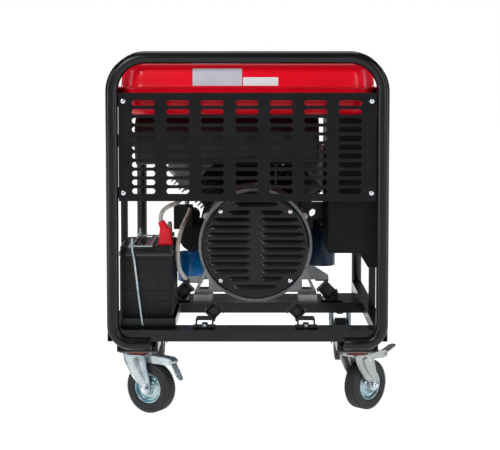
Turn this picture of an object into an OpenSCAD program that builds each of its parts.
// Engine driven welder: a two-cylinder air-cooled diesel engine and a welding alternator
// on rubber mounts in an open tube frame that rolls on four swivel casters.
// Lateral X, depth Y from the alternator end to the fan end, Z up from the floor.

/* [Frame] */
// Outside width over the two end hoops
frame_w = 680; // [660:5:700]
// Distance between the planes of the two end hoops
hoop_gap = 908; // [900:2:920]
// Height of the top of the hoops above the floor
frame_top = 885; // [880:1:895]
// Height of the lowest point of the hoops
hoop_low = 165; // [163:1:167]
// Tube diameter of the hoops
tube_d = 30; // [28:1:32]
// Wall of the frame tubes
tube_wall = 2; // [1.5:0.5:3]
// Centreline radius of the upper hoop corners
top_bend_r = 82; // [70:1:90]
// Centreline radius of the lower hoop corners
low_bend_r = 45; // [40:1:50]

/* [Heat shield panel] */
// Height of the slotted panel
shield_h = 260; // [250:5:265]
// Number of slot columns
slot_cols = 7; // [5:1:7]
// Number of slot rows
slot_rows = 11; // [7:1:11]
// Length of a slot
slot_len = 55; // [40:1:60]
// Height of a slot
slot_h = 13; // [8:1:14]

/* [Engine and alternator] */
// Lateral offset of the shaft line from the frame centre
shaft_x = 19; // [15:1:22]
// Height of the shaft line
shaft_z = 408; // [404:1:410]
// Radius of the louvred end cover
cover_r = 134; // [130:1:136]
// Shaft radius at the bearings
journal_r = 20; // [18:0.5:22]
// Radial running clearance of shafts and pins
running_gap = 0.05; // [0.02:0.01:0.1]
// Angle of each cylinder from vertical
bank_angle = 45; // [43:1:46]

/* [Casters] */
// Wheel diameter
wheel_d = 125; // [120:1:126]
// Tyre width
tyre_w = 37; // [34:1:38]
// Distance from swivel axis to wheel axle
trail = 35; // [32:1:36]
// Lateral distance of the swivel axes from the frame centre
caster_x = 268; // [266:1:270]
// Depth of the front swivel axes
caster_front_y = 75; // [73:1:77]
// Depth of the rear swivel axes
caster_rear_y = 787; // [785:1:790]

/* [Battery] */
// Width of the battery case
battery_w = 129; // [125:1:130]
// Length of the battery case
battery_l = 227; // [215:1:230]

/* [Hidden] */
$fn = 48;
e = 0.5;                       // overlap that makes clean cuts and joins

// The origin is on the floor, under the middle of the bounding box. The raised brake pedal
// of the front right caster reaches past the frame, which moves that middle to the right.
origin_x = 16;
origin_y = hoop_gap / 2;

// Frame
tube_r = tube_d / 2;
hoop_half = frame_w / 2 - tube_r;          // tube centreline, lateral
hoop_top_z = frame_top - tube_r;
hoop_low_z = hoop_low + tube_r;
foot_end_x = 235;                          // where the in-turned feet of a hoop stop
rail_in = hoop_half - 14;                  // inner and outer faces of the square rails
rail_out = hoop_half + 14;
deck_z0 = 185;                             // bottom and top of the lower frame members
deck_z1 = 213;
upper_rail_z1 = 798;
sheet = 3;                                 // wall of the folded frame members
bracket_z0 = 157;                          // top face of the caster plates
post_y = 380;
post_w = 18;
shield_w = 2 * (hoop_half - tube_r) - 2;
shield_z0 = 526;
shield_y = -3;
shield_t = 2;
slot_pitch_x = 82.5;
slot_pitch_z = 21.1;
shield_screw_x = 298;
shield_screw_dz = 20;

// Tank
tank_half = 309;
tank_y0 = 22;
tank_y1 = hoop_gap - 22;
tank_z0 = 729;
tank_z1 = 866;
tank_corner = 60;
tank_edge = 34;                            // radius along the long edges
tank_step = 3;                             // lower shell set in from the upper one
tank_t = 1.5;
filler_pos = [-120, 300];
filler_r = 32;
cap_r = 39;

// Battery
battery_x0 = -313;
battery_y0 = 53;
battery_z0 = 216;
battery_z1 = 412;
lid_z0 = 388;
battery_cx = battery_x0 + battery_w / 2;
battery_y1 = battery_y0 + battery_l;
terminal_y = [95, 243];                    // positive and negative battery posts
post_x = battery_cx + 45;

// Engine and alternator, depths along the shaft line
cover_y = 90;
bell_y = 108;
stator_y = 150;
adapter_y = 330;
block_y = 360;
block_end_y = 640;
fan_end_y = 770;
bell_r = 141;
stator_r = 136;
rotor_r = 85;
foot_z0 = 277;
foot_z1 = 293;
foot_x0 = 106;
foot_x1 = 151;
left_bank_y = 440;
right_bank_y = 540;
crankcase_r = 98;
bank_base = 102;                           // where the barrels stand, from the shaft
barrel_r = 44;
fin_r = 60;
head_start = 212;
head_end = 290;
muffler_pos = [-52, 180, 665];
muffler_r = 60;
muffler_len = 458;
mount_x = 100;                             // rubber mounts from the shaft line
mount_z = 254;
mount_front_y = 45;
mount_rear_y = 495;
rear_mount_x = 197;                        // rear mounts and the feet that reach out to them
rear_mount_z = 242;
rear_foot = 200;
rear_foot_z = 274;
rubber_r = 15;
rubber_len = 26;
louvre_pitch = 18.2;
louvre_gap = 13.2;
louvre_slot = 6;
cover_screw = 86;

// Control box
box_x0 = 197;
box_x1 = 318;
box_y0 = 48;
box_y1 = 358;
box_z0 = 395;
box_z1 = 722;
panel_t = 3;
meter_y = [110, 190];
meter_z = 664;
knob_pos = [270, 664];                     // depth and height on the panel
key_pos = [325, 664];
stop_pos = [325, 590];
outlet_y = [100, 165];
outlet_z = 560;
weld_y = [110, 190, 270];
weld_z = 450;
weld_bore_r = 6.5;

// Casters
wheel_r = wheel_d / 2;
axle_r = 6;
rim_r = 37;
hub_half = 22;
fork_in = 23.5;
fork_t = 3;
crown_r = 36;
crown_z0 = 140;
crown_z1 = 143.7;
seal_z0 = 144;
plate_z0 = 153;
plate_x = 92;
plate_y = 106;
hole_dx = 60;
hole_dy = 80;
bolt_r = 4;
pedal_x = 98;                              // pedal pin from the swivel axis
pedal_z = 131;
pedal_pin_r = 3;
yaw_fl = -30;                              // trailing direction of each fork about Z
yaw_fr = 45;
yaw_rl = -90;
yaw_rr = -90;
pedal_down = 60;                           // pedal pressed, degrees below level
pedal_up = -20;

// Cable routes, from the battery posts to the starter and to the end bell
positive_route = [
    [-208.5, 95, 456], [-213, 95, 464], [-215, 98, 480], [-209, 106, 495], [-196, 122, 504],
    [-178, 158, 510], [-170, 210, 515], [-167, 270, 517], [-165, 330, 510], [-165, 375, 497],
    [-165, 411, 490.5],
];
negative_route = [
    [-203.5, 243, 442], [-203, 262, 449], [-203, 286, 440], [-203, 302, 405], [-203, 312, 345],
    [-207, 320, 285], [-232, 326, 242], [-272, 330, 224], [-314, 330, 219.2],
];
earth_route = [
    [-155, 389, 474], [-155, 368, 475], [-154, 320, 474], [-157, 240, 466], [-166, 165, 446],
    [-172.5, 118, 416], [-173.5, 95, 384], [-170, 90, 354], [-160, 96, 334], [-152, 101.8, 322],
];
left_pipe_route = [
    [-151, 381, 578], [-151, 374, 578], [-151, 362, 578], [-144, 338, 590], [-128, 300, 626], [-114, 272, 654],
    [-110, 250, 664], [-110, 230, 665], [-110, 206, 665],
];
right_pipe_route = [
    [189, 481, 578], [189, 474, 578], [189, 462, 578], [180, 440, 592], [150, 400, 624],
    [112, 345, 652], [90, 298, 664], [85, 262, 665], [85, 230, 665], [85, 206, 665],
];
cable_r = 5.5;
cable_sides = 10;

// ---------------------------------------------------------------- shared shapes

module at_origin() translate([-origin_x, -origin_y, 0]) children();

// Cylinder along Y from depth y0 to y1
module rod_y(r, y0, y1) translate([0, y0, 0]) rotate([-90, 0, 0]) cylinder(r = r, h = y1 - y0);

// Cylinder along X from x0 to x1
module rod_x(r, x0, x1) translate([x0, 0, 0]) rotate([0, 90, 0]) cylinder(r = r, h = x1 - x0);

// Box between two corners
module span(a, b) translate(a) cube(b - a);

// Profile drawn in X and Z, extruded from depth y0 to y1
module extrude_y(y0, y1) translate([0, y1, 0]) rotate([90, 0, 0]) linear_extrude(y1 - y0) children();

// Straight round bar between two points
module bar(a, b, r) {
    d = b - a;
    len = norm(d);
    translate(a) rotate([0, acos(d[2] / len), atan2(d[1], d[0])]) cylinder(r = r, h = len);
}

module rounded_2d(w, h, r) {
    square([w - 2 * r, h], center = true);
    square([w, h - 2 * r], center = true);
    for (sx = [-1, 1], sy = [-1, 1]) translate([sx * (w / 2 - r), sy * (h / 2 - r)]) circle(r);
}

module slot_2d(length, height) {
    square([length - height, height], center = true);
    for (s = [-1, 1]) translate([s * (length - height) / 2, 0]) circle(height / 2);
}

// Hex head or nut standing on +Z
module hex(across, h) cylinder(d = across * 1.1547, h = h, $fn = 6);

// Smooth curve through route points
function spline(a, b, c, d, t) =
    0.5 * ((2 * b) + (c - a) * t + (2 * a - 5 * b + 4 * c - d) * t * t
    + (3 * b - a - 3 * c + d) * t * t * t);
function smooth(p, n) = concat(
    [for (i = [0:len(p) - 2], k = [0:n - 1])
        spline(p[max(i - 1, 0)], p[i], p[i + 1], p[min(i + 2, len(p) - 1)], k / n)],
    [p[len(p) - 1]]);
function unit(v) = v / norm(v);
function across(n, t) = unit(n - (n * t) * t);

// Round tube swept along a route, one closed solid
module swept_tube(route, r, sides) {
    p = smooth(route, 3);
    last = len(p) - 1;
    t = [for (i = [0:last]) unit(p[min(i + 1, last)] - p[max(i - 1, 0)])];
    n = [for (i = 0, v = across([0.3, 1, 0.2], t[0]); i <= last;
        i = i + 1, v = across(v, t[min(i, last)])) v];
    rings = [for (i = [0:last], k = [0:sides - 1])
        p[i] + r * (n[i] * cos(360 * k / sides) + cross(t[i], n[i]) * sin(360 * k / sides))];
    walls = [for (i = [0:last - 1], k = [0:sides - 1])
        [i * sides + k, (i + 1) * sides + k, (i + 1) * sides + (k + 1) % sides,
        i * sides + (k + 1) % sides]];
    polyhedron(rings, concat(walls, [[for (k = [0:sides - 1]) k],
        [for (k = [sides - 1:-1:0]) last * sides + k]]), convexity = 6);
}

// ---------------------------------------------------------------- frame

// Half of a hoop in the plane Y = 0, from the top centre to the in-turned foot
module half_hoop(r, foot_extra, feet) {
    top_x = hoop_half - top_bend_r;
    low_x = hoop_half - low_bend_r;
    translate([0, 0, hoop_top_z]) rod_x(r, -0.01, top_x);
    translate([top_x, 0, hoop_top_z - top_bend_r]) rotate([90, 0, 0])
        rotate_extrude(angle = 90) translate([top_bend_r, 0]) circle(r);
    leg_z = feet ? hoop_low_z + low_bend_r : hoop_low - foot_extra;
    translate([hoop_half, 0, leg_z]) cylinder(r = r, h = hoop_top_z - top_bend_r - leg_z);
    if (feet) {
        translate([low_x, 0, hoop_low_z + low_bend_r]) rotate([90, 90, 0])
            rotate_extrude(angle = 90) translate([low_bend_r, 0]) circle(r);
        translate([0, 0, hoop_low_z]) rod_x(r, foot_end_x - foot_extra, low_x);
    }
}

// Near hoop with in-turned feet, or far hoop with straight legs
module hoop_bar(r, foot_extra = 0, feet = true) {
    half_hoop(r, foot_extra, feet);
    mirror([1, 0, 0]) half_hoop(r, foot_extra, feet);
}

module hoop_tube(feet) difference() {
    hoop_bar(tube_r, 0, feet);
    hoop_bar(tube_r - tube_wall, 1, feet);
}

module both_hoops() {
    hoop_bar(tube_r);
    translate([0, hoop_gap, 0]) hoop_bar(tube_r, 0, false);
}

module front_hoop() color("#15161a") at_origin() {
    hoop_tube(true);
    // welded tabs that carry the heat shield
    difference() {
        for (s = [-1, 1], z = [shield_z0 + shield_screw_dz, shield_z0 + shield_h - shield_screw_dz])
            span([s > 0 ? 285 : -rail_in, 3, z - 14], [s > 0 ? rail_in : -285, 6, z + 14]);
        hoop_bar(tube_r - 0.3);
        for (s = [-1, 1], z = [shield_z0 + shield_screw_dz, shield_z0 + shield_h - shield_screw_dz])
            translate([s * shield_screw_x, 0, z]) rod_y(3.2, 0, 8);
    }
}

module rear_hoop() color("#15161a") at_origin() translate([0, hoop_gap, 0]) hoop_tube(false);

// Square rail along Y between the hoops, coped round them
module rail(z0, z1) difference() {
    for (s = [-1, 1]) scale([s, 1, 1]) difference() {
        span([rail_in, 2, z0], [rail_out, hoop_gap - 2, z1]);
        span([rail_in + tube_wall, 0, z0 + tube_wall], [rail_out - tube_wall, hoop_gap, z1 - tube_wall]);
    }
    both_hoops();
}

module side_rails() color("#15161a") at_origin() {
    rail(deck_z0, deck_z1);
    rail(upper_rail_z1 - 26, upper_rail_z1);
}

// Folded channel across the frame, open below
module channel(y0, y1, half) difference() {
    span([-half, y0, deck_z0], [half, y1, deck_z1]);
    span([-half - e, y0 + sheet, deck_z0 - e], [half + e, y1 - sheet, deck_z1 - sheet]);
}

module cross_members() color("#15161a") at_origin() {
    difference() {
        channel(0, 80, rail_in);
        both_hoops();
    }
    channel(455, 535, rail_in);
    // lower tie between the rear caster brackets
    difference() {
        span([-214, 745, bracket_z0], [214, 829, deck_z0]);
        span([-215, 748, bracket_z0 - e], [215, 826, deck_z0 - sheet]);
    }
}

// Box bracket under the rails that carries one caster
module caster_bracket(x, y) translate([x, y, 0]) difference() {
    span([-50, -58, bracket_z0], [50, 58, deck_z0]);
    span([-50 + sheet, -60, bracket_z0 + sheet], [50 - sheet, 60, deck_z0 - sheet]);
    for (sx = [-1, 1], sy = [-1, 1]) translate([sx * hole_dx / 2, sy * hole_dy / 2, bracket_z0 - e])
        cylinder(r = bolt_r + 0.5, h = sheet + 1);
}

module caster_brackets() color("#1a1b20") at_origin() difference() {
    for (s = [-1, 1], y = [caster_front_y, caster_rear_y]) caster_bracket(s * caster_x, y);
    both_hoops();
}

// Upright between the lower and the upper rail on each side
module side_posts() color("#15161a") at_origin() for (s = [-1, 1])
    difference() {
        span([s * 331 - post_w / 2, post_y, deck_z1], [s * 331 + post_w / 2, post_y + 20, upper_rail_z1 - 26]);
        span([s * 331 - post_w / 2 + 1.5, post_y + 1.5, deck_z1 - e],
            [s * 331 + post_w / 2 - 1.5, post_y + 18.5, upper_rail_z1]);
    }

module heat_shield() color("#1b1d28") at_origin() translate([0, 0, shield_z0 + shield_h / 2]) {
    screw_z = shield_h / 2 - shield_screw_dz;
    extrude_y(shield_y, shield_y + shield_t) difference() {
        square([shield_w, shield_h], center = true);
        for (c = [0:slot_cols - 1], r = [0:slot_rows - 1])
            translate([(c - (slot_cols - 1) / 2) * slot_pitch_x - 1.5,
                (r - (slot_rows - 1) / 2) * slot_pitch_z]) slot_2d(slot_len, slot_h);
        for (sx = [-1, 1], sz = [-1, 1]) translate([sx * shield_screw_x, sz * screw_z]) circle(3.2);
    }
    // folded top and bottom edges
    for (s = [-1, 1]) span([-shield_w / 2 + 24, shield_y + e, s > 0 ? shield_h / 2 - 2 : -shield_h / 2],
        [shield_w / 2 - 24, 14, s > 0 ? shield_h / 2 : -shield_h / 2 + 2]);
}

// Cross-head machine screw with its head towards -Y
module face_screw(head_r, shank_r, length) difference() {
    union() {
        rod_y(head_r, -4, 0);
        rod_y(shank_r, -1, length);
    }
    for (a = [0, 90]) rotate([0, a, 0]) span([-head_r * 0.6, -5, -0.8], [head_r * 0.6, -2, 0.8]);
}

module panel_screws() color("#c9ccd2") at_origin() {
    for (s = [-1, 1], z = [shield_z0 + shield_screw_dz, shield_z0 + shield_h - shield_screw_dz])
        translate([s * shield_screw_x, shield_y, z]) face_screw(7, 3, 14);
    for (sx = [-1, 1], sz = [-1, 1])
        translate([shaft_x + sx * cover_screw, cover_y, shaft_z + sz * cover_screw]) face_screw(7, 3, 26);
}

// ---------------------------------------------------------------- fuel tank

module tank_body(inset, z0, z1) intersection() {
    translate([0, 0, z0]) linear_extrude(z1 - z0) translate([0, (tank_y0 + tank_y1) / 2])
        rounded_2d(2 * (tank_half - inset), tank_y1 - tank_y0 - 2 * inset, tank_corner - inset);
    extrude_y(tank_y0 - e, tank_y1 + e) translate([0, (tank_z0 + tank_z1) / 2])
        rounded_2d(2 * (tank_half - inset), tank_z1 - tank_z0 - 2 * inset, tank_edge);
}

module tank_flange(z0, z1, inset) difference() {
    translate([0, 0, z0]) linear_extrude(z1 - z0) translate([0, (tank_y0 + tank_y1) / 2])
        rounded_2d(2 * (tank_half + 2), tank_y1 - tank_y0 + 4, tank_corner + 2);
    translate([0, 0, z0 - e]) linear_extrude(z1 - z0 + 2 * e) translate([0, (tank_y0 + tank_y1) / 2])
        rounded_2d(2 * (tank_half - inset), tank_y1 - tank_y0 - 2 * inset, tank_corner - inset);
}

// Ears that rest on the upper rails
module tank_ears(z0, z1) for (s = [-1, 1], y = [120, 454, 788])
    span([s > 0 ? tank_half : -rail_out, y - 20, z0], [s > 0 ? rail_out : -tank_half, y + 20, z1]);

module tank_lower() color("#c4121c") at_origin() {
    difference() {
        tank_body(tank_step, tank_z0 - 1, upper_rail_z1 + 2);
        tank_body(tank_step + tank_t, tank_z0 - 1, upper_rail_z1 + 3);
    }
    tank_flange(upper_rail_z1, upper_rail_z1 + 2, tank_step + tank_t);
    tank_ears(upper_rail_z1, upper_rail_z1 + 2);
}

module tank_upper() color("#d0141e") at_origin() {
    difference() {
        union() {
            tank_body(0, upper_rail_z1 + 2, tank_z1 + 1);
            translate([filler_pos[0], filler_pos[1], tank_z1 - 3]) cylinder(r = filler_r, h = 12);
        }
        tank_body(tank_t, upper_rail_z1 + 1, tank_z1 + 1);
        translate([filler_pos[0], filler_pos[1], tank_z1 - 20]) cylinder(r = filler_r - 3, h = 40);
    }
    tank_flange(upper_rail_z1 + 2, upper_rail_z1 + 4, tank_t);
}

module fuel_cap() color("#1a1a1c") at_origin() translate([filler_pos[0], filler_pos[1], 0]) difference() {
    union() {
        translate([0, 0, tank_z1 + 1]) cylinder(r = cap_r, h = 15);
        for (a = [0:30:330]) rotate([0, 0, a]) translate([cap_r, 0, tank_z1 + 2]) cylinder(r = 3, h = 13);
    }
    translate([0, 0, tank_z1]) cylinder(r = filler_r + 0.5, h = 11);
}

// ---------------------------------------------------------------- battery

module battery_case() color("#1d1a18") at_origin()
    span([battery_x0, battery_y0, battery_z0], [battery_x0 + battery_w, battery_y1, lid_z0]);

module battery_lid() color("#232120") at_origin() difference() {
    union() {
        span([battery_x0 - 2, battery_y0 - 2, lid_z0], [battery_x0 + battery_w + 2, battery_y1 + 2, lid_z0 + 10]);
        span([battery_x0, battery_y0, lid_z0], [battery_x0 + battery_w, battery_y1, battery_z1]);
    }
    for (y = terminal_y) translate([post_x, y, battery_z1 - 4]) cylinder(r = 13, h = 5);
    for (i = [0:5]) translate([battery_cx - 28, battery_y0 + 48 + i * 28, battery_z1 - 2]) cylinder(r = 8, h = 3);
}

module battery_posts() color("#9b9da1") at_origin() for (y = terminal_y)
    translate([post_x, y, battery_z1 - 4]) {
        cylinder(r = 9, h = 22);
        translate([0, 0, 22]) cylinder(r = 4, h = 6);
    }

module battery_tray() color("#1a1b1f") at_origin() difference() {
    span([-325, 44, deck_z1], [-176, 292, deck_z1 + 22]);
    span([-322.5, 46.5, deck_z1 + 2.5], [-178.5, 289.5, deck_z1 + 30]);
    span([-330, 40, deck_z1 + 2.5], [-310, 300, deck_z1 + 30]);
}

// Bar over the battery, its end straps and two hooked rods
module battery_clamp() color("#b9bdc4") at_origin() {
    span([-246, battery_y0 - 20, battery_z1], [-232, battery_y1 + 20, battery_z1 + 3]);
    for (y = [battery_y0 - 15, battery_y1 + 15]) {
        span([-290, y - 5, battery_z1], [-232, y + 5, battery_z1 + 3]);
        bar([-281, y, battery_z1 - 6], [-258, y, 222], 2.5);
        translate([-281, y, battery_z1 - 8]) cylinder(r = 2.5, h = 30);
        translate([-281, y, battery_z1 + 3]) hex(9, 6);
    }
}

module terminal_boot() color("#e01526") at_origin() translate([post_x, terminal_y[0], 0]) difference() {
    union() {
        translate([-16, -16, battery_z1 + 0.2]) cube([32, 32, 12]);
        translate([0, 0, battery_z1 + 12]) cylinder(r = 15, h = 28);
        bar([0, 0, battery_z1 + 34], [-10, 0, battery_z1 + 54], 9);
    }
    translate([0, 0, battery_z1 - 5]) cylinder(r = 9.3, h = 24);
    translate([0, 0, battery_z1 + 10]) cylinder(r = 4.3, h = 16);
    bar([0, 0, battery_z1 + 34], [-13, 0, battery_z1 + 60], cable_r + 1);
}

module battery_cables() color("#a79c8c") at_origin() {
    swept_tube(positive_route, cable_r, cable_sides);
    swept_tube(negative_route, cable_r, cable_sides);
    swept_tube(earth_route, cable_r, cable_sides);
}

// ---------------------------------------------------------------- alternator

module on_shaft() translate([shaft_x, 0, shaft_z]) children();

module stator_case() color("#3a3c40") at_origin() on_shaft() {
    difference() {
        rod_y(stator_r, stator_y, adapter_y);
        rod_y(stator_r - 14, stator_y - e, adapter_y + e);
    }
    // laminated core with the windings
    difference() {
        rod_y(stator_r - 13, stator_y + 30, adapter_y - 30);
        rod_y(rotor_r + 2, stator_y, adapter_y);
    }
}

// Cast end bell: ring, spokes, bearing hub and two triangular feet
module end_bell() color("#a9abae") at_origin() {
    on_shaft() difference() {
        union() {
            difference() {
                rod_y(bell_r, bell_y, stator_y);
                rod_y(bell_r - 16, bell_y - e, stator_y + e);
            }
            for (a = [0, 45, 90, 135]) rotate([0, a, 0])
                span([-bell_r + 8, bell_y + 8, -7], [bell_r - 8, bell_y + 30, 7]);
            rod_y(44, bell_y + 6, stator_y - 4);
        }
        rod_y(journal_r + running_gap, bell_y, stator_y + e);
    }
    difference() {
        for (s = [-1, 1]) translate([shaft_x, 0, 0]) {
            span([s > 0 ? foot_x0 : -foot_x1, 46, foot_z0], [s > 0 ? foot_x1 : -foot_x0, stator_y, foot_z1]);
            for (y = [100, 138]) extrude_y(y, y + 10) difference() {
                polygon([[s * foot_x1, foot_z1 - 1], [s * 80, foot_z1 - 1], [s * 80, 350], [s * 124, 350]]);
                polygon([[s * 140, 299], [s * 116, 299], [s * 116, 322], [s * 124, 336]]);
            }
        }
        on_shaft() {
            rod_y(cover_r + 0.5, 40, bell_y);
            rod_y(bell_r - 8, bell_y - e, stator_y + e);
        }
    }
    // lug for the earth strap
    span([-158, 108, 313], [-112, 112, 331]);
}

function louvre_half(z) = abs(z) < 70 ? sqrt(123 * 123 - z * z) : abs(z) < 90 ? 67 : 55;

module louvre_slots(height) for (i = [0:11]) {
    k = i - 5.5;
    z = k * louvre_pitch + (abs(k) > 5 ? sign(k) * 2.5 : 0);
    half = louvre_half(z);
    if (abs(k) > 5) translate([0, z]) square([2 * half, height], center = true);
    else for (s = [-1, 1]) translate([s * (half + louvre_gap) / 2, z])
        square([half - louvre_gap, height], center = true);
}

module vent_cover() color("#101114") at_origin() on_shaft() {
    difference() {
        rod_y(cover_r, cover_y, bell_y);
        rod_y(cover_r - 2, cover_y + 2, bell_y + e);
        extrude_y(cover_y - e, cover_y + 3) louvre_slots(louvre_slot);
        for (sx = [-1, 1], sz = [-1, 1]) translate([sx * cover_screw, 0, sz * cover_screw]) rod_y(3.2, 80, 100);
    }
    // pressed hoods over the slots, sloping down and forward
    for (i = [0:11]) {
        k = i - 5.5;
        z = k * louvre_pitch + (abs(k) > 5 ? sign(k) * 2.5 : 0);
        half = louvre_half(z);
        for (s = [-1, 1]) {
            x0 = abs(k) > 5 ? (s > 0 ? -0.01 : -half) : (s > 0 ? louvre_gap : -half);
            x1 = abs(k) > 5 ? (s > 0 ? half : 0.01) : (s > 0 ? half : -louvre_gap);
            translate([x0, cover_y, z]) rotate([90, 0, 90]) linear_extrude(x1 - x0)
                polygon([[0.5, 6], [0.5, 3], [-4, -3.5], [-5.5, -3]]);
        }
    }
}

// Rotor, journals and crank throws on one shaft
module rotor() color("#7d8084") at_origin() on_shaft() {
    rod_y(journal_r, bell_y + 10, 694);
    rod_y(rotor_r, stator_y + 32, adapter_y - 32);
    for (y = [430, 480, 530]) translate([0, 0, 18]) rod_y(46, y, y + 14);
}

module flywheel() color("#55585c") at_origin() on_shaft() difference() {
    union() {
        rod_y(134, block_end_y + 14, block_end_y + 30);
        rod_y(48, block_end_y + 10, block_end_y + 66);
        for (a = [0:20:340]) rotate([0, a, 0]) span([70, block_end_y + 29, -3], [130, block_end_y + 68, 3]);
    }
    rod_y(journal_r, block_end_y, 780);
}

// ---------------------------------------------------------------- engine

// Places children on a cylinder bank: local Z runs outward from the shaft
module bank(s, y) translate([shaft_x, y, shaft_z]) rotate([0, s * bank_angle, 0]) children();

module crankcase() color("#8f9194") at_origin() {
    difference() {
        union() {
            on_shaft() rod_y(stator_r + 4, adapter_y, block_y);
            on_shaft() rod_y(crankcase_r, block_y - e, block_end_y);
            translate([shaft_x, 0, 0]) span([-104, block_y - e, 300], [104, block_end_y, 438]);
            for (b = [[-1, left_bank_y], [1, right_bank_y]]) bank(b[0], b[1])
                translate([-58, -60, 40]) cube([116, 120, bank_base - 40]);
        }
        on_shaft() {
            rod_y(82, block_y + 10, block_end_y - 12);
            rod_y(rotor_r + 20, adapter_y - e, block_y - 8);
            rod_y(journal_r + running_gap, adapter_y - e, block_end_y + e);
        }
        for (b = [[-1, left_bank_y], [1, right_bank_y]]) bank(b[0], b[1]) cylinder(r = barrel_r - 8, h = 120);
    }
    // sump, drain boss and mounting feet
    translate([shaft_x, 0, 0]) {
        difference() {
            span([-62, 400, 238], [62, 610, 301]);
            span([-56, 406, 244], [56, 604, 302]);
        }
        for (s = [-1, 1]) span([s > 0 ? 60 : -rear_foot, mount_rear_y - 20, rear_foot_z],
            [s > 0 ? rear_foot : -60, mount_rear_y + 20, rear_foot_z + 10]);
        for (s = [-1, 1], y = [mount_rear_y - 20, mount_rear_y + 12]) extrude_y(y, y + 8)
            polygon([[s * rear_foot, rear_foot_z + 9], [s * 60, rear_foot_z + 9], [s * 60, 345], [s * 103, 345]]);
    }
}

// Finned barrels
module cylinders() color("#6f7276") at_origin() for (b = [[-1, left_bank_y], [1, right_bank_y]])
    bank(b[0], b[1]) difference() {
        union() {
            translate([0, 0, bank_base]) cylinder(r = barrel_r, h = head_start - bank_base);
            for (i = [0:9]) translate([0, 0, 108 + i * 10.4]) cylinder(r = fin_r, h = 3);
        }
        translate([0, 0, 100]) cylinder(r = barrel_r - 8, h = head_start - 98);
    }

// Finned heads with their rocker covers
module cylinder_heads() color("#8f9194") at_origin() for (b = [[-1, left_bank_y], [1, right_bank_y]])
    bank(b[0], b[1]) {
        translate([-50, -50, head_start]) cube([100, 100, head_end - head_start - 26]);
        for (i = [0:4]) translate([-60, -58, head_start + 4 + i * 10]) cube([120, 116, 3.5]);
        translate([0, 0, head_end - 27]) linear_extrude(27) rounded_2d(92, 104, 14);
        for (sx = [-1, 1], sy = [-1, 1]) translate([sx * 34, sy * 40, head_end - 0.01]) hex(10, 5);
    }

// Fan shroud with ducts towards both cylinders
module blower_shape(inset) {
    on_shaft() rod_y(156 - inset, block_end_y + inset, fan_end_y - inset);
    for (s = [-1, 1]) bank(s, 0) span([-64 + inset, block_end_y + inset, 60], [64 - inset, 700 - inset, 292 - inset]);
    translate([shaft_x, 0, 0]) span([-76 + inset, 642 + inset, 420], [76 - inset, 694 - inset, 606 - inset]);
}

module blower_housing() color("#17181b") at_origin() difference() {
    blower_shape(0);
    difference() {
        blower_shape(2);
        on_shaft() rod_y(200, fan_end_y - 2, fan_end_y + 5);
    }
    on_shaft() {
        rod_y(60, block_end_y - e, block_end_y + 5);
        for (r = [56:14:126]) extrude_y(fan_end_y - 3, fan_end_y + 1) rotate(11) difference() {
            circle(r + 4);
            circle(r - 4);
            for (a = [0:45:135]) rotate(a) square([400, 8], center = true);
        }
    }
    for (s = [-1, 1]) bank(s, 0) span([-50, block_end_y - e, 170], [50, block_end_y + 5, 270]);
}

// Spin-on can with its cast head above
module filter_can(r, h) {
    cylinder(r = r - 3, h = 2);
    translate([0, 0, 1.5]) cylinder(r = r, h = h - 9);
    translate([0, 0, h - 8]) cylinder(r = r - 2, h = 8);
}

module oil_filter() color("#0b62b4") at_origin() translate([-150, 305, 294]) filter_can(34, 76);

module fuel_filter() color("#0a1c38") at_origin() translate([197, 397, 324]) filter_can(35, 102);

// Outer block of a finned head
module head_block() translate([-60, -58, head_start]) cube([120, 116, head_end - head_start]);

// Drum between the banks on a stand, with a pipe to each head
module air_cleaner() color("#1b1c1f") at_origin() difference() {
    translate([shaft_x, 0, 0]) {
        translate([0, 0, 645]) {
            rod_y(54, 430, 590);
            rod_y(57, 444, 452);
            rod_y(12, 420, 430.5);
        }
        for (b = [[-1, left_bank_y], [1, right_bank_y]]) bar([b[0] * 30, b[1], 640], [b[0] * 150, b[1], 616], 15);
        span([-24, 505, 480], [24, 545, 600]);
    }
    on_shaft() rod_y(crankcase_r, block_y, block_end_y);
    for (b = [[-1, left_bank_y], [1, right_bank_y]]) bank(b[0], b[1]) {
        translate([-58, -60, 40]) cube([116, 120, bank_base - 40]);
        head_block();
    }
}

module exhaust_pipes() color("#5d5148") at_origin() {
    swept_tube(left_pipe_route, 16.8, 16);
    swept_tube(right_pipe_route, 16.8, 16);
}

module muffler() color("#3b3431") at_origin() {
    difference() {
        translate(muffler_pos) {
            rod_x(muffler_r, -muffler_len / 2, muffler_len / 2);
            for (s = [-1, 1]) rod_x(muffler_r + 3, s * (muffler_len / 2 - 6) - 4, s * (muffler_len / 2 - 6) + 4);
        }
        for (x = [-110, 85]) translate([x, 0, 665]) rod_y(17, 205, 300);
    }
    translate([0, muffler_pos[1], muffler_pos[2]]) rod_x(16, -332, -280);
    // saddles down to the alternator
    difference() {
        for (x = [-50, 70]) span([x - 3, 160, 480], [x + 3, 200, muffler_pos[2] - 54]);
        on_shaft() rod_y(stator_r, stator_y, adapter_y);
    }
}

module starter_motor() color("#2a2b2e") at_origin() {
    translate([-150, 0, 392]) {
        rod_y(38, 455, 600);
        rod_y(40, 598, block_end_y - 0.5);
    }
    translate([-156, 0, 445]) {
        rod_y(20, 470, 580);
        rod_y(5, 450, 474);
    }
    // starter relay: box on an arm from the crankcase, terminal stud on top
    span([-200, 395, 420], [-150, 440, 484]);
    span([-151, 400, 420], [shaft_x - 104.2, 430, 424]);
    translate([-165, 421, 483]) cylinder(r = 4, h = 12);
}

// Mount brackets in the plane across the shaft; the rubber leans 45 degrees inward at its top
module lean(s, rear = false) translate(rear ? [s * rear_mount_x, mount_rear_y, rear_mount_z]
    : [s * mount_x, mount_front_y, mount_z]) rotate([0, s * -45, 0]) children();

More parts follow.
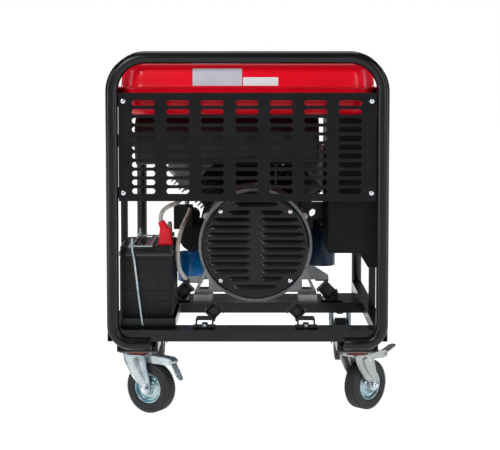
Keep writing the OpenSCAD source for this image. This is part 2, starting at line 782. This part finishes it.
// Folded hat on the front channel: base, two legs and a top
module front_bracket(s) for (p = [[[98, deck_z1], [152, deck_z1], [152, deck_z1 + 4], [98, deck_z1 + 4]],
    [[102, 216], [106, 216], [106, 235], [102, 235]],
    [[143, 216], [147, 216], [145, 235], [141, 235]],
    [[101, 233.5], [146, 233.5], [143, 238], [106, 238]]])
    polygon([for (q = p) [s * q[0], q[1]]]);

// Gusset under the rear seat
module rear_bracket(s) for (p = [[[180, deck_z1], [238, deck_z1], [238, deck_z1 + 4], [180, deck_z1 + 4]],
    [[200, 216], [226, 216], [226, 240], [222, 240]]])
    polygon([for (q = p) [s * q[0], q[1]]]);

// Plate from the crankcase to the cast head of the right filter
module filter_bracket() {
    difference() {
        span([shaft_x + 104, 380, 426.2], [236, 386, 495]);
        translate([170, 0, 466]) rotate([0, 30, 0]) scale([0.8, 1, 1.1]) rotate([-90, 0, 0])
            translate([0, 0, 370]) cylinder(r = 10, h = 30, $fn = 6);
    }
    translate([197, 397, 426.2]) cylinder(r = 30, h = 20);
}

module mount_brackets() color("#18191c") at_origin() {
    filter_bracket();
    translate([shaft_x, 0, 0]) for (s = [-1, 1]) mount_pair(s);
}

module mount_pair(s) {
    extrude_y(mount_front_y - 22, mount_front_y + 22) front_bracket(s);
    lean(s) {
        span([-17, -22, -17], [17, 22, -rubber_len / 2]);
        span([-19, -22, rubber_len / 2], [18, 22, 17]);
    }
    span([s > 0 ? 102 : -foot_x1, mount_front_y - 22, foot_z0 - 4], [s > 0 ? foot_x1 : -102, mount_front_y + 22, foot_z0]);
    extrude_y(mount_rear_y - 22, mount_rear_y + 22) rear_bracket(s);
    lean(s, true) {
        span([-20, -24, -21], [20, 24, -17]);
        span([-20, -24, 17], [20, 24, 21]);
    }
    span([s > 0 ? rear_foot - 36 : -rear_foot, mount_rear_y - 20, rear_foot_z - 4],
        [s > 0 ? rear_foot : 36 - rear_foot, mount_rear_y + 20, rear_foot_z]);
}

module rubber_mounts() color("#121212") at_origin() translate([shaft_x, 0, 0]) for (s = [-1, 1]) {
    difference() {
        lean(s) translate([0, 0, -rubber_len / 2]) cylinder(r = rubber_r, h = rubber_len);
        span([s > 0 ? 102 : -foot_x1, 0, foot_z0 - 4.3], [s > 0 ? foot_x1 : -102, 600, foot_z0 + 9]);
    }
    lean(s, true) translate([0, 0, -17]) cylinder(r = 18, h = 34);
}

// ---------------------------------------------------------------- control box

module control_box() color("#16171b") at_origin() {
    difference() {
        span([box_x0, box_y0, box_z0], [box_x1, box_y1, box_z1]);
        span([box_x0 + 2, box_y0 + 2, box_z0 + 2], [box_x1 + e, box_y1 - 2, box_z1 - 2]);
    }
    // gusset below the end wall
    extrude_y(box_y0, box_y0 + 3) polygon([[272, box_z0 + 1], [box_x1, box_z0 + 1], [box_x1, 360], [294, 360]]);
    // hangers up to the upper rail
    for (y = [80, 320]) span([box_x1 - 4, y, box_z1 - 20], [box_x1, y + 24, upper_rail_z1 - 26]);
    for (y = [80, 320]) span([rail_in - 0.01, y, upper_rail_z1 - 29], [rail_out - 8, y + 24, upper_rail_z1 - 26]);
}

// Hole through the side panel at depth y and height z
module side_hole(y, z, r) translate([box_x1 - 1, y, z]) rotate([0, 90, 0]) cylinder(r = r, h = panel_t + 2);

module control_panel() color("#22242a") at_origin() difference() {
    span([box_x1, box_y0, box_z0], [box_x1 + panel_t, box_y1, box_z1]);
    for (y = meter_y) side_hole(y, meter_z, 27);
    side_hole(knob_pos[0], knob_pos[1], 5.5);
    side_hole(key_pos[0], key_pos[1], 9.5);
    side_hole(stop_pos[0], stop_pos[1], 11.5);
    for (y = outlet_y) side_hole(y, outlet_z, 22);
    for (y = weld_y) side_hole(y, weld_z, 15);
}

// Round instrument body along X with a flange on the panel
module on_panel(y, z) translate([box_x1 + panel_t, y, z]) rotate([0, 90, 0]) children();

module panel_meters() color("#dfe2e4") at_origin() for (y = meter_y) on_panel(y, meter_z) {
    translate([0, 0, -40]) cylinder(r = 26, h = 41);
    cylinder(r = 31, h = 6);
}

module key_switch() color("#b9bdc4") at_origin() on_panel(key_pos[0], key_pos[1]) {
    translate([0, 0, -26]) cylinder(r = 9, h = 30);
    translate([-1.2, -10, 3]) cube([2.4, 20, 15]);
}

module current_knob() color("#1a1a1c") at_origin() on_panel(knob_pos[0], knob_pos[1]) {
    translate([0, 0, -20]) cylinder(r = 5, h = 24);
    translate([0, 0, 1]) cylinder(r = 17, h = 15);
    translate([-2, -16, 15]) cube([4, 18, 3]);
}

module stop_button() color("#d2202a") at_origin() on_panel(stop_pos[0], stop_pos[1]) {
    translate([0, 0, -24]) cylinder(r = 11, h = 32);
    translate([0, 0, 6]) cylinder(r = 18, h = 10);
}

module weld_terminals() color("#c8a14a") at_origin() for (y = weld_y) on_panel(y, weld_z) difference() {
    union() {
        translate([0, 0, -30]) cylinder(r = 14.5, h = 31);
        cylinder(r = 20, h = 8);
    }
    translate([0, 0, -22]) cylinder(r = weld_bore_r, h = 40);
}

module socket_outlets() color("#2b4f86") at_origin() for (y = outlet_y) on_panel(y, outlet_z) difference() {
    union() {
        translate([0, 0, -36]) cylinder(r = 21.5, h = 37);
        linear_extrude(8) rounded_2d(52, 52, 6);
    }
    translate([0, 0, -8]) cylinder(r = 18, h = 20);
    for (s = [-1, 1]) translate([0, s * 9.5, -24]) cylinder(r = 2.6, h = 20);
}

// ---------------------------------------------------------------- casters

// Places children on a swivel axis, local X along the trailing direction
module caster_at(x, y, yaw) at_origin() translate([x, y, 0]) rotate([0, 0, yaw]) children();
module at_fl() caster_at(-caster_x, caster_front_y, yaw_fl) children();
module at_fr() caster_at(caster_x, caster_front_y, yaw_fr) children();
module at_rl() caster_at(-caster_x, caster_rear_y, yaw_rl) children();
module at_rr() caster_at(caster_x, caster_rear_y, yaw_rr) children();

module at_plates() at_origin() for (s = [-1, 1], y = [caster_front_y, caster_rear_y])
    translate([s * caster_x, y, 0]) children();

module caster_plates() color("#8d949c") at_plates() {
    difference() {
        translate([0, 0, plate_z0]) linear_extrude(bracket_z0 - plate_z0) rounded_2d(plate_x, plate_y, 8);
        for (sx = [-1, 1], sy = [-1, 1]) translate([sx * hole_dx / 2, sy * hole_dy / 2, plate_z0 - e])
            cylinder(r = bolt_r + 0.5, h = 6);
    }
    // kingpin with its head below the fork crown
    translate([0, 0, 133]) cylinder(r = axle_r, h = plate_z0 - 132);
    translate([0, 0, 131]) cylinder(r = 11, h = crown_z0 - 131.4);
}

module swivel_seals() color("#b3202c") at_plates() difference() {
    translate([0, 0, seal_z0]) cylinder(r = 35, h = plate_z0 - seal_z0);
    translate([0, 0, seal_z0 - e]) cylinder(r = 24, h = plate_z0 - seal_z0 + 1);
}

module fork_leg(y0, y1) extrude_y(y0, y1) {
    polygon([[-30, crown_z1], [33, crown_z1], [trail + 13.5, wheel_r + 2], [trail - 13.5, wheel_r + 2]]);
    translate([trail, wheel_r]) circle(14);
}

module fork() {
    difference() {
        union() {
            translate([0, 0, crown_z0]) cylinder(r = crown_r, h = crown_z1 - crown_z0);
            for (s = [-1, 1]) fork_leg(s > 0 ? fork_in : -fork_in - fork_t, s > 0 ? fork_in + fork_t : -fork_in);
            span([-28, -fork_in - 1, crown_z0], [33, fork_in + 1, crown_z1]);
        }
        translate([0, 0, crown_z0 - e]) cylinder(r = axle_r + running_gap, h = 6);
    }
    // axle bolt with head and nut
    translate([trail, 0, wheel_r]) {
        rod_y(axle_r, -fork_in - 9, fork_in + 9);
        for (s = [-1, 1]) translate([0, s * (fork_in + fork_t), 0]) rotate([s * -90, 0, 0]) hex(16, 6);
    }
}

// Arm behind the fork that carries the brake pedal on its pin
module brake_arm() {
    for (s = [-1, 1]) extrude_y(s > 0 ? 12 : -14, s > 0 ? 14 : -12)
        polygon([[26, crown_z1], [26, 128], [56, 128], [94, 124], [104, 126], [105, 136], [98, 139]]);
    extrude_y(-14, 14) polygon([[26, crown_z1], [26, crown_z1 - 2], [80, crown_z1 - 4], [82, crown_z1 - 2]]);
    translate([pedal_x, 0, pedal_z]) rod_y(pedal_pin_r, -16, 16);
}

module tyre() color("#1c1a19") translate([trail, 0, wheel_r]) rotate([90, 0, 0]) rotate_extrude($fn = 64)
    difference() {
        translate([(rim_r + wheel_r) / 2, 0]) rounded_2d(wheel_r - rim_r, tyre_w, 7);
        translate([rim_r - 10, -tyre_w]) square([10, 2 * tyre_w]);
        for (z = [-7, 0, 7]) translate([wheel_r + 0.5, z]) circle(1.8);
    }

module rim() color("#9fb4c0") translate([trail, 0, wheel_r]) rotate([90, 0, 0]) rotate_extrude($fn = 64) {
    difference() {
        translate([(rim_r + 30) / 2, 0]) square([rim_r - 30, tyre_w - 6], center = true);
        translate([0, 0]) square([2 * rim_r - 6, tyre_w - 12], center = true);
    }
    translate([axle_r + running_gap, -hub_half]) square([8, 2 * hub_half]);
    for (s = [-1, 1]) translate([axle_r + 4, s * 9 - 1.5]) square([31 - axle_r - 4, 3]);
    for (s = [-1, 1]) translate([29.5, s * 12 - 4]) square([2.5, 8]);
}

// Pedal on its pin; tilt is degrees below level
module pedal(tilt) color("#a7abad") translate([pedal_x, 0, pedal_z]) rotate([0, tilt, 0]) difference() {
    union() {
        rod_y(6, -11.5, 11.5);
        span([2, -11.5, -2], [40, 11.5, 1.5]);
        translate([39, 0, -2]) cylinder(r = 11.5, h = 3.5);
    }
    rod_y(pedal_pin_r + running_gap, -20, 20);
}

module fork_fl() color("#7f8c96") at_fl() { fork(); brake_arm(); }
module fork_fr() color("#a9adb0") at_fr() { fork(); brake_arm(); }
module fork_rl() color("#7f8c96") at_rl() fork();
module fork_rr() color("#7f8c96") at_rr() fork();
module tyre_fl() at_fl() tyre();
module tyre_fr() at_fr() tyre();
module tyre_rl() at_rl() tyre();
module tyre_rr() at_rr() tyre();
module rim_fl() at_fl() rim();
module rim_fr() at_fr() rim();
module rim_rl() at_rl() rim();
module rim_rr() at_rr() rim();
module pedal_fl() at_fl() pedal(pedal_down);
module pedal_fr() at_fr() pedal(pedal_up);

// Caster bolts with nuts, and the bolts of the mount brackets
module bolts() color("#c2c5ca") {
    at_plates() for (sx = [-1, 1], sy = [-1, 1]) translate([sx * hole_dx / 2, sy * hole_dy / 2, 0]) {
        translate([0, 0, plate_z0 - 5]) hex(13, 5);
        translate([0, 0, plate_z0 - 1]) cylinder(r = bolt_r, h = 20);
        translate([0, 0, bracket_z0 + sheet]) hex(13, 6);
    }
    at_origin() translate([shaft_x, 0, 0]) for (s = [-1, 1], d = [-13, 13]) {
        translate([s * 124, mount_front_y + d, deck_z1 + 4]) hex(13, 6);
        translate([s * 187, mount_rear_y + d, deck_z1 + 4]) hex(10, 6);
    }
}

front_hoop();
rear_hoop();
side_rails();
cross_members();
caster_brackets();
side_posts();
heat_shield();
panel_screws();
tank_lower();
tank_upper();
fuel_cap();
battery_case();
battery_lid();
battery_posts();
battery_tray();
battery_clamp();
terminal_boot();
battery_cables();
stator_case();
end_bell();
vent_cover();
rotor();
flywheel();
crankcase();
cylinders();
cylinder_heads();
blower_housing();
oil_filter();
fuel_filter();
air_cleaner();
exhaust_pipes();
muffler();
starter_motor();
mount_brackets();
rubber_mounts();
control_box();
control_panel();
panel_meters();
key_switch();
current_knob();
stop_button();
weld_terminals();
socket_outlets();
caster_plates();
swivel_seals();
bolts();
fork_fl();
fork_fr();
fork_rl();
fork_rr();
tyre_fl();
tyre_fr();
tyre_rl();
tyre_rr();
rim_fl();
rim_fr();
rim_rl();
rim_rr();
pedal_fl();
pedal_fr();
